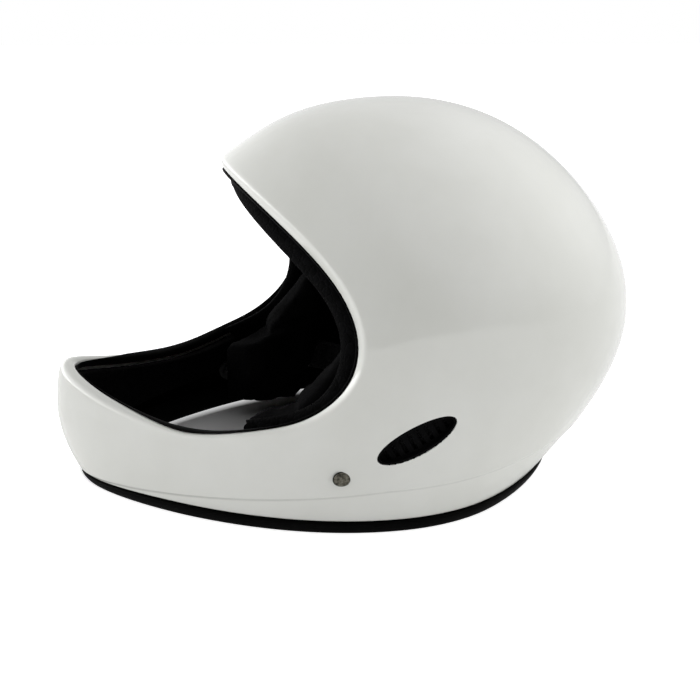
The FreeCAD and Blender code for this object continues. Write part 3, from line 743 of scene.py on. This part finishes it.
def solidCopy(name, nodeName):
    mesh = nodes[nodeName].data.copy()
    piece = bpy.data.objects.new(name, mesh)
    mesh.name = name
    bpy.context.scene.collection.objects.link(piece)
    inEditMode(piece, lambda: bpy.ops.mesh.remove_doubles(threshold=0.01 * mm))
    pick(piece)
    bpy.ops.mesh.customdata_custom_splitnormals_clear()
    return piece


def sinkPoints(piece, far):  # inwards, square to the surface
    writePoints(piece, readPoints(piece) - readRows(piece.data.vertices, "normal") * far)


padLook = {
    "voxel": 3.5 * mm, "start": 0.9 * mm, "cap": 3.0 * mm, "seamWidth": 2.2, "seamDepth": 2.4, "gap": 0.3,
    "pressure": 4, "mass": 0.2, "frames": 20,
}


def inflate(piece, cap):  # cloth under pressure, with each point kept within the cap
    before = readPoints(piece)
    pick(piece)
    cloth = piece.modifiers.new("Filling", "CLOTH")
    cloth.settings.use_pressure = True
    cloth.settings.uniform_pressure_force = padLook["pressure"]
    cloth.settings.effector_weights.gravity = 0
    cloth.settings.mass = padLook["mass"]
    for step in range(1, padLook["frames"] + 1):
        bpy.context.scene.frame_set(step)
    bpy.ops.object.modifier_apply(modifier=cloth.name)
    bpy.context.scene.frame_set(1)
    moved = readPoints(piece) - before
    far = np.linalg.norm(moved, axis=1)[:, None]
    writePoints(piece, before + moved * np.minimum(1, cap / np.maximum(far, 1e-9)))


def turnOf(points):  # turn of each point's page about the spine
    way = points - spinePoint
    lean = form["lean"]
    return np.arctan2(way[:, 0], way[:, 1] * math.sin(lean) + way[:, 2] * math.cos(lean))


def keepInside(piece, gap):  # no point comes nearer to the liner than the gap
    points = readPoints(piece) / mm
    turns = turnOf(points)
    inset = form["linerInset"] + form["linerSide"] + form["linerChange"] * np.cos(turns) + gap
    ways = points - spinePoint
    far = np.linalg.norm(ways, axis=1)
    ways /= far[:, None]
    allowed = reachOf(ways, inset)
    writePoints(piece, (spinePoint + ways * np.minimum(far, allowed)[:, None]) * mm)


def sew(piece, distance):  # a sewn channel where the distance is nothing
    sunk = padLook["seamDepth"] * np.exp(-(distance / padLook["seamWidth"]) ** 2) * mm
    sinkPoints(piece, sunk[:, None])


def padBlank(name, nodeName):
    pad = solidCopy(name, nodeName)
    modify(pad, "REMESH", mode="VOXEL", voxel_size=padLook["voxel"])
    modify(pad, "SMOOTH", factor=0.5, iterations=5)
    sinkPoints(pad, padLook["start"])
    inflate(pad, padLook["cap"])
    modify(pad, "SUBSURF", levels=1, render_levels=1)
    return pad


def liningPad(name, nodeName, seamTurns):
    pad = padBlank(name, nodeName)
    for seam in seamTurns:
        points = readPoints(pad) / mm
        offSpine = np.linalg.norm(points - spinePoint, axis=1)
        sew(pad, (turnOf(points) - math.radians(seam)) * offSpine)
    keepInside(pad, padLook["gap"])
    smoothShade(pad, 80)
    finishPiece(pad, "helmet", padCloth, [nodeName])


liningPad("browPad", "brow_pad", (-30, -10, 10, 30))
liningPad("crownPad", "crown_pad", (-20, -10, 0, 10, 20))
liningPad("napePad", "nape_pad", (-15, 0, 15))
liningPad("templePadLeft", "temple_pad_left", (45,))
liningPad("templePadRight", "temple_pad_right", (-45,))

cheekLook = {"seams": [((-60, 8), (6, 34)), ((-50, 54), (2, 66))], "back": 83.6 * mm}


def lineDistance(points, start, end):  # in the side view, from the line between two places
    start, end = np.array(start, float), np.array(end, float)
    way = end - start
    flat = points[:, 1:3] - start
    share = np.clip(flat @ way / (way @ way), 0, 1)
    return np.linalg.norm(flat - share[:, None] * way, axis=1)


def cheekPad(side):
    pad = padBlank("cheekPad" + side.title(), "cheek_pad_" + side)
    for start, end in cheekLook["seams"]:
        sew(pad, lineDistance(readPoints(pad) / mm, start, end))
    points = readPoints(pad)
    # the backs stay flat, clear of the strap
    points[:, 0] = np.clip(points[:, 0], -cheekLook["back"], cheekLook["back"])
    writePoints(pad, points)
    smoothShade(pad, 80)
    finishPiece(pad, "cheek_" + side, padCloth, ["cheek_pad_" + side])


for side in ("left", "right"):
    cheekPad(side)
print("pads done")


# Chin strap, written in its hanging attitude and then turned about the rivets to where it rests

sideWords = {1: "Left", -1: "Right"}
strap = {
    "turn": math.radians(78.2), "plane": 87.0, "width": 20.0, "thickness": 1.8, "bend": 14.0,
    "top": -16.0, "side": -24.0, "drop": -92.0, "bottomHalf": 46.0, "plugEnd": 30.0, "socketEnd": -22.0,
    "spacing": 2.0, "across": 10, "easing": 0.35, "arcPlaces": 9,
}
# the sewn fold round the hanger's bar: places outwards from the strap's plane, and up
foldLook = {"corners": [(0.9, -21.5), (1.3, -13), (-1.2, -12.6), (-1.2, -26)], "bend": 0.5, "width": 15.6,
            "thickness": 1.1}
stitchLook = {"plane": -1.9, "rows": (-18.5, -20.5, -22.5, -24.5), "places": (-5.6, -2.8, 0, 2.8, 5.6),
              "size": (0.22, 1.1, 0.28), "apart": 3}


def settleOnFloor(points):  # from the hanging attitude, in millimetres, to where the strap rests
    turned = points.copy()
    sine, cosine = math.sin(strap["turn"]), math.cos(strap["turn"])
    turned[:, 1] = points[:, 1] * cosine - points[:, 2] * sine + rivetPlace[0]
    turned[:, 2] = points[:, 1] * sine + points[:, 2] * cosine + rivetPlace[1]
    return turned * mm


def bentLine(corners, bend):  # straight runs joined by arcs, as evenly spaced points
    corners = [np.array(c, float) for c in corners]
    line = [corners[0]]
    for before, corner, after in zip(corners, corners[1:], corners[2:]):
        back = (before - corner) / np.linalg.norm(before - corner)
        on = (after - corner) / np.linalg.norm(after - corner)
        half = math.acos(np.clip(back @ on, -1, 1)) / 2
        middle = corner + (back + on) / np.linalg.norm(back + on) * bend / math.sin(half)
        first = corner + back * bend / math.tan(half)
        last = corner + on * bend / math.tan(half)
        for t in np.linspace(0, 1, strap["arcPlaces"]):
            spoke = (first - middle) * (1 - t) + (last - middle) * t
            line.append(middle + spoke / np.linalg.norm(spoke) * bend)
    line.append(corners[-1])
    line = np.array(line)
    lengths = np.concatenate([[0], np.cumsum(np.linalg.norm(np.diff(line, axis=0), axis=1))])
    places = np.linspace(0, lengths[-1], int(lengths[-1] / strap["spacing"]) + 1)
    return np.stack([np.interp(places, lengths, line[:, k]) for k in (0, 1)], axis=1), lengths[-1]


def strapBand(name, corners, bend, width, thickness, replaced=()):  # corners are (across, up)
    line, length = bentLine(corners, bend)
    deselectAll()
    bpy.ops.mesh.primitive_grid_add(x_subdivisions=len(line) - 1, y_subdivisions=strap["across"], size=1)
    band = takeNew(name)
    flat = readPoints(band)
    step = np.rint((flat[:, 0] + 0.5) * (len(line) - 1)).astype(int)
    side = flat[:, 1] * width
    hanging = np.stack([line[step, 0], side, line[step, 1]], axis=1)
    writePoints(band, settleOnFloor(hanging))
    for corner in band.data.uv_layers.active.data:
        corner.uv = (corner.uv[0] * length * mm, corner.uv[1] * width * mm)
    modify(band, "SOLIDIFY", thickness=thickness * mm, offset=0)
    faceOutwards(band)
    modify(band, "BEVEL", width=strap["easing"] * thickness * mm, segments=2, limit_method="ANGLE",
           angle_limit=math.radians(50))
    smoothShade(band, 50)
    finishPiece(band, "chin_strap", webbingCloth, replaced)


def strapRun(side):  # 1 on the left, -1 on the right
    end = strap["plugEnd"] if side > 0 else strap["socketEnd"]
    corners = [(side * strap["plane"], strap["top"]), (side * strap["plane"], strap["side"]),
               (side * strap["bottomHalf"], strap["drop"]), (end, strap["drop"])]
    word = sideWords[side]
    strapBand("webbing" + word, corners, strap["bend"], strap["width"], strap["thickness"],
              ["webbing_" + word.lower()])
    fold = [(side * (strap["plane"] + out), up) for out, up in foldLook["corners"]]
    strapBand("webbingFold" + word, fold, foldLook["bend"], foldLook["width"], foldLook["thickness"])


def stitches(side):  # short raised stitches, modelled once and copied
    deselectAll()
    bpy.ops.mesh.primitive_uv_sphere_add(segments=8, ring_count=6, radius=1)
    sewn = takeNew("foldStitches" + sideWords[side])
    unit = readPoints(sewn)
    out = side * (strap["plane"] + stitchLook["plane"])
    places = [(out, across, up) for up in stitchLook["rows"] for across in stitchLook["places"]]
    modify(sewn, "ARRAY", count=len(places), use_relative_offset=False, use_constant_offset=True,
           constant_offset_displace=(stitchLook["apart"], 0, 0))
    points = readPoints(sewn).reshape(len(places), len(unit), 3)
    for k, place in enumerate(places):
        points[k] = settleOnFloor(unit * stitchLook["size"] + place)
    writePoints(sewn, points.reshape(-1, 3))
    smoothShade(sewn, 180)
    finishPiece(sewn, "chin_strap", threadCloth)


for side in sideWords:
    strapRun(side)
    stitches(side)
print("webbing done")


# Padded sleeve of nylon-faced neoprene on the right run

sleeveLook = {
    "half": 24.0, "size": (24.0, 6.8), "channel": (20.8, 2.6), "around": 40, "waist": 0.5,
    # by the bound ends: how much is taken off the size, and how far from the end
    "pinches": [(1.6, 0), (0.6, 1), (0.4, 3), (1.5, 3.8), (0.5, 5)],
    "mouth": [(0.5, 0), (0, 1.5), (0, 14.4)],  # the channel in the same way, with what is added
}


def ovalPlace(angle, width, thickness):  # rounded rectangle, a superellipse of power 4
    cosine, sine = np.cos(angle), np.sin(angle)
    size = (np.abs(cosine) ** 4 + np.abs(sine) ** 4) ** 0.25
    return cosine / size * width / 2, sine / size * thickness / 2


def sleeveColumns():
    top = np.array([-strap["plane"], strap["side"]])
    bottom = np.array([-strap["bottomHalf"], strap["drop"]])
    way = (bottom - top) / np.linalg.norm(bottom - top)
    side = np.array([way[1], -way[0]])
    middle = (top + bottom) / 2
    angle = np.linspace(0, 2 * math.pi, sleeveLook["around"], endpoint=False)
    half = sleeveLook["half"]
    outer = [(back - half, -pinch) for pinch, back in sleeveLook["pinches"]]
    outer += [(-half / 2, 0), (0, -sleeveLook["waist"]), (half / 2, 0)]
    outer += [(half - back, -pinch) for pinch, back in sleeveLook["pinches"][::-1]]
    inner = [(half - back, ease) for ease, back in sleeveLook["mouth"]]
    inner += [(back - half, ease) for ease, back in sleeveLook["mouth"][::-1]]
    columns = []
    for size, sections in ((sleeveLook["size"], outer), (sleeveLook["channel"], inner)):
        for along, more in sections:
            y, out = ovalPlace(angle, size[0] + more, size[1] + more)
            flat = middle + way * along
            hanging = np.stack([flat[0] + side[0] * out, y, flat[1] + side[1] * out], axis=1)
            columns.append(settleOnFloor(hanging) / mm)
    return columns


sleeve = ringPiece("strapSleeve", sleeveColumns(), 2)
smoothShade(sleeve, 70)
finishPiece(sleeve, "strap_sleeve", neoprene, ["chin_sleeve"])
print("sleeve done")


# Hardware: the solids with their edges eased, as mouldings and pressings have them

def easedCopy(name, nodeName, ease, body, slotName, material):
    piece = solidCopy(name, nodeName)
    inEditMode(piece, lambda: bpy.ops.mesh.dissolve_limited(angle_limit=math.radians(1)))
    modify(piece, "BEVEL", width=ease * mm, segments=2, limit_method="ANGLE", angle_limit=math.radians(35),
           use_clamp_overlap=True)
    smoothShade(piece, 40)
    finishPiece(piece, body, material, [nodeName])


for row in [("buckleSocket", "buckle_socket", 0.4, "chin_strap"),
            ("bucklePlug", "buckle_plug", 0.35, "chin_strap"),
            ("prongFront", "prong_front", 0.3, "front_prong"),
            ("prongRear", "prong_rear", 0.3, "rear_prong")]:
    easedCopy(*row, "black_plastic", blackPlastic)
for word in sideWords.values():
    easedCopy("hanger" + word, "strap_hanger_" + word.lower(), 0.25, "chin_strap", "steel", strapSteel)

rivetHead = {
    "height": 1.2, "stem": 2.4, "stemEnd": 84.4, "squash": 0.85, "around": 48, "sunk": 0.3,
    # radius, and height as a share of the head's: a flat middle, a raised ring and a rounded edge
    "profile": [(0.01, 0.78), (1.4, 0.8), (2.2, 0.84), (2.8, 0.98), (3.5, 0.94), (4.1, 0.62), (4.4, 0.25),
                (4.35, -0.2)],
    "seat": 4.25, "bead": 0.45,
}
sideLimit = 130.0  # outside the skin at either side


def sideSkin(y, z):  # how far out the skin is at a side-view place
    out = halve(lambda t: formLevel(np.stack([t, np.full(1, y), np.full(1, z)], axis=1), 0) < 1,
                np.zeros(1), np.full(1, sideLimit))
    return float(out[0])


rivetFace = sideSkin(*rivetPlace)


def rivet(side):
    rings = [(r, rivetFace + share * rivetHead["height"]) for r, share in rivetHead["profile"]]
    rings += [(rivetHead["stem"], rivetFace - rivetHead["sunk"]), (rivetHead["stem"], rivetHead["stemEnd"]),
              (0.01, rivetHead["stemEnd"])]
    deselectAll()
    bpy.ops.mesh.primitive_grid_add(x_subdivisions=rivetHead["around"], y_subdivisions=len(rings) - 1,
                                    size=1)
    piece = takeNew("rivetHead" + sideWords[side])
    flat = readPoints(piece)
    turn = (flat[:, 0] + 0.5) * 2 * math.pi
    row = np.rint((flat[:, 1] + 0.5) * (len(rings) - 1)).astype(int)
    radii, out = np.array(rings)[row].T
    places = np.stack([side * out, rivetPlace[0] + radii * np.cos(turn),
                       rivetPlace[1] + rivetHead["squash"] * radii * np.sin(turn)], axis=1)
    writePoints(piece, places * mm)
    inEditMode(piece, lambda: bpy.ops.mesh.remove_doubles(threshold=0.02 * mm))
    faceOutwards(piece)
    smoothShade(piece, 50)
    finishPiece(piece, "helmet", rivetSteel, ["strap_rivet_" + sideWords[side].lower()])


def rivetRing(side):  # thin black ring round the foot of the head, on the skin
    deselectAll()
    centre = [side * rivetFace * mm, rivetPlace[0] * mm, rivetPlace[1] * mm]
    bpy.ops.mesh.primitive_torus_add(major_segments=64, major_radius=rivetHead["seat"] * mm,
                                     minor_segments=12, minor_radius=rivetHead["bead"] * mm, location=centre,
                                     rotation=(0, math.pi / 2, 0), generate_uvs=False)
    seat = takeNew("rivetRing" + sideWords[side])
    seat.scale[0] = rivetHead["squash"]
    settlePlace(seat)
    faceOutwards(seat)
    smoothShade(seat, 60)
    finishPiece(seat, "helmet", ringRubber)


ringRubber = makeRubber("rivetRingRubber", 0.7)
for side in sideWords:
    rivet(side)
    rivetRing(side)
print("hardware done")


# Floor, light and camera

floorLook = {
    "light": "#ebebeb", "dark": "#e6e6e6", "blotch": 0.4, "size": 40, "drop": 0.2 * mm,
    "lift": 0.8, "bounce": 0.22,  # how much the floor glows for the camera and for everything else
    # painted shadow: it doesn't glow under the helmet, so the floor there shows darker: half width at the
    # chin and amidships, half length, middle, soft edge
    "paintedShadowWidths": (0.060, 0.104), "paintedShadowLength": 0.128, "paintedShadowMiddle": -0.025, "paintedShadowEdge": (0.9, 1.04),
}
studio = {
    "cameraPlace": (0.5115, -0.0953, 0.2373), "cameraTarget": (0, 0.00354, 0.0611), "lens": 48.09,
    # the room's light: a little all round, then lobes of it, each with its way, tightness and gain
    "room": 0.02,
    "lobes": [((0, 1, 0), 4, 0.42), ((0, -1, 0), 4, 0.65), ((0, 1, 1), 3, 1.7),
              ((-0.4, -0.8, -0.45), 3, 6.2), ((-1, 0, 0), 2, 0.68), ((0, 0, 1), 2, 0.25)],
}


def cameraRays(material):  # 1 for rays from the camera
    return addNode(material, "ShaderNodeLightPath").outputs["Is Camera Ray"]


def outsidePaintedShadow(material, place):  # 0 under the helmet, where the shadow is painted, 1 away from it
    length, middle = floorLook["paintedShadowLength"], floorLook["paintedShadowMiddle"]
    parts = partsOf(material, place)
    width = ranged(material, parts["Y"], (middle - length, 0), floorLook["paintedShadowWidths"])
    spot = addNode(material, "ShaderNodeCombineXYZ", {
        "X": reckoned(material, "DIVIDE", parts["X"], width),
        "Y": reckoned(material, "MULTIPLY_ADD", parts["Y"], 1 / length, -middle / length)})
    return ranged(material, lengthOf(material, spot.outputs["Vector"]), floorLook["paintedShadowEdge"], (0, 1))


def makeFloor():
    deselectAll()
    bpy.ops.mesh.primitive_plane_add(size=floorLook["size"], location=(0, 0, -floorLook["drop"]))
    floor = takeNew("studioFloor")
    settlePlace(floor)
    material, shader, place = startMaterial("mattBackdropPaper", Roughness=1.0, Specular_IOR_Level=0)
    colour(material, shader, place, floorLook)
    glows = mixed(material, cameraRays(material), floorLook["bounce"], floorLook["lift"], "FLOAT")
    # painted shadow: the glow is taken away under the helmet
    lift = reckoned(material, "MULTIPLY", glows, outsidePaintedShadow(material, place))
    glow = addNode(material, "ShaderNodeEmission", {"Color": (1, 1, 1, 1), "Strength": lift})
    both = addNode(material, "ShaderNodeAddShader", {0: shader.outputs["BSDF"], 1: glow.outputs["Emission"]})
    join(material, both.outputs["Shader"], material.node_tree.nodes["Material Output"], "Surface")
    floor.data.materials.append(material)


def makeWorld():  # a soft tent of broad lobes of light, dark where the camera stands
    world = bpy.data.worlds.new("lightTent")
    bpy.context.scene.world = world
    world.use_nodes = True
    background = world.node_tree.nodes["Background"]
    way = addNode(world, "ShaderNodeTexCoord").outputs["Generated"]
    level = studio["room"]
    for towards, tightness, gain in studio["lobes"]:
        along = Vector(towards).normalized()
        facing = addNode(world, "ShaderNodeVectorMath", {0: way, 1: along}, operation="DOT_PRODUCT")
        share = reckoned(world, "MAXIMUM", facing.outputs["Value"], 0.0)
        focus = reckoned(world, "POWER", share, tightness)
        level = reckoned(world, "MULTIPLY_ADD", focus, gain, level)
    background.inputs["Color"].default_value = (1, 1, 1, 1)
    join(world, mixed(world, cameraRays(world), level, 1.0, "FLOAT"), background, "Strength")


makeFloor()
makeWorld()
deselectAll()
bpy.ops.object.camera_add(location=studio["cameraPlace"])
camera = bpy.context.object
sight = Vector(studio["cameraTarget"]) - Vector(studio["cameraPlace"])
camera.rotation_euler = sight.to_track_quat("-Z", "Y").to_euler()
camera.data.lens = studio["lens"]
camera.data.sensor_width = 36
camera.data.clip_start = 0.01
bpy.context.scene.camera = camera
bpy.context.scene.view_settings.view_transform = "Standard"
print("studio ready")

bpy.context.view_layer.update()
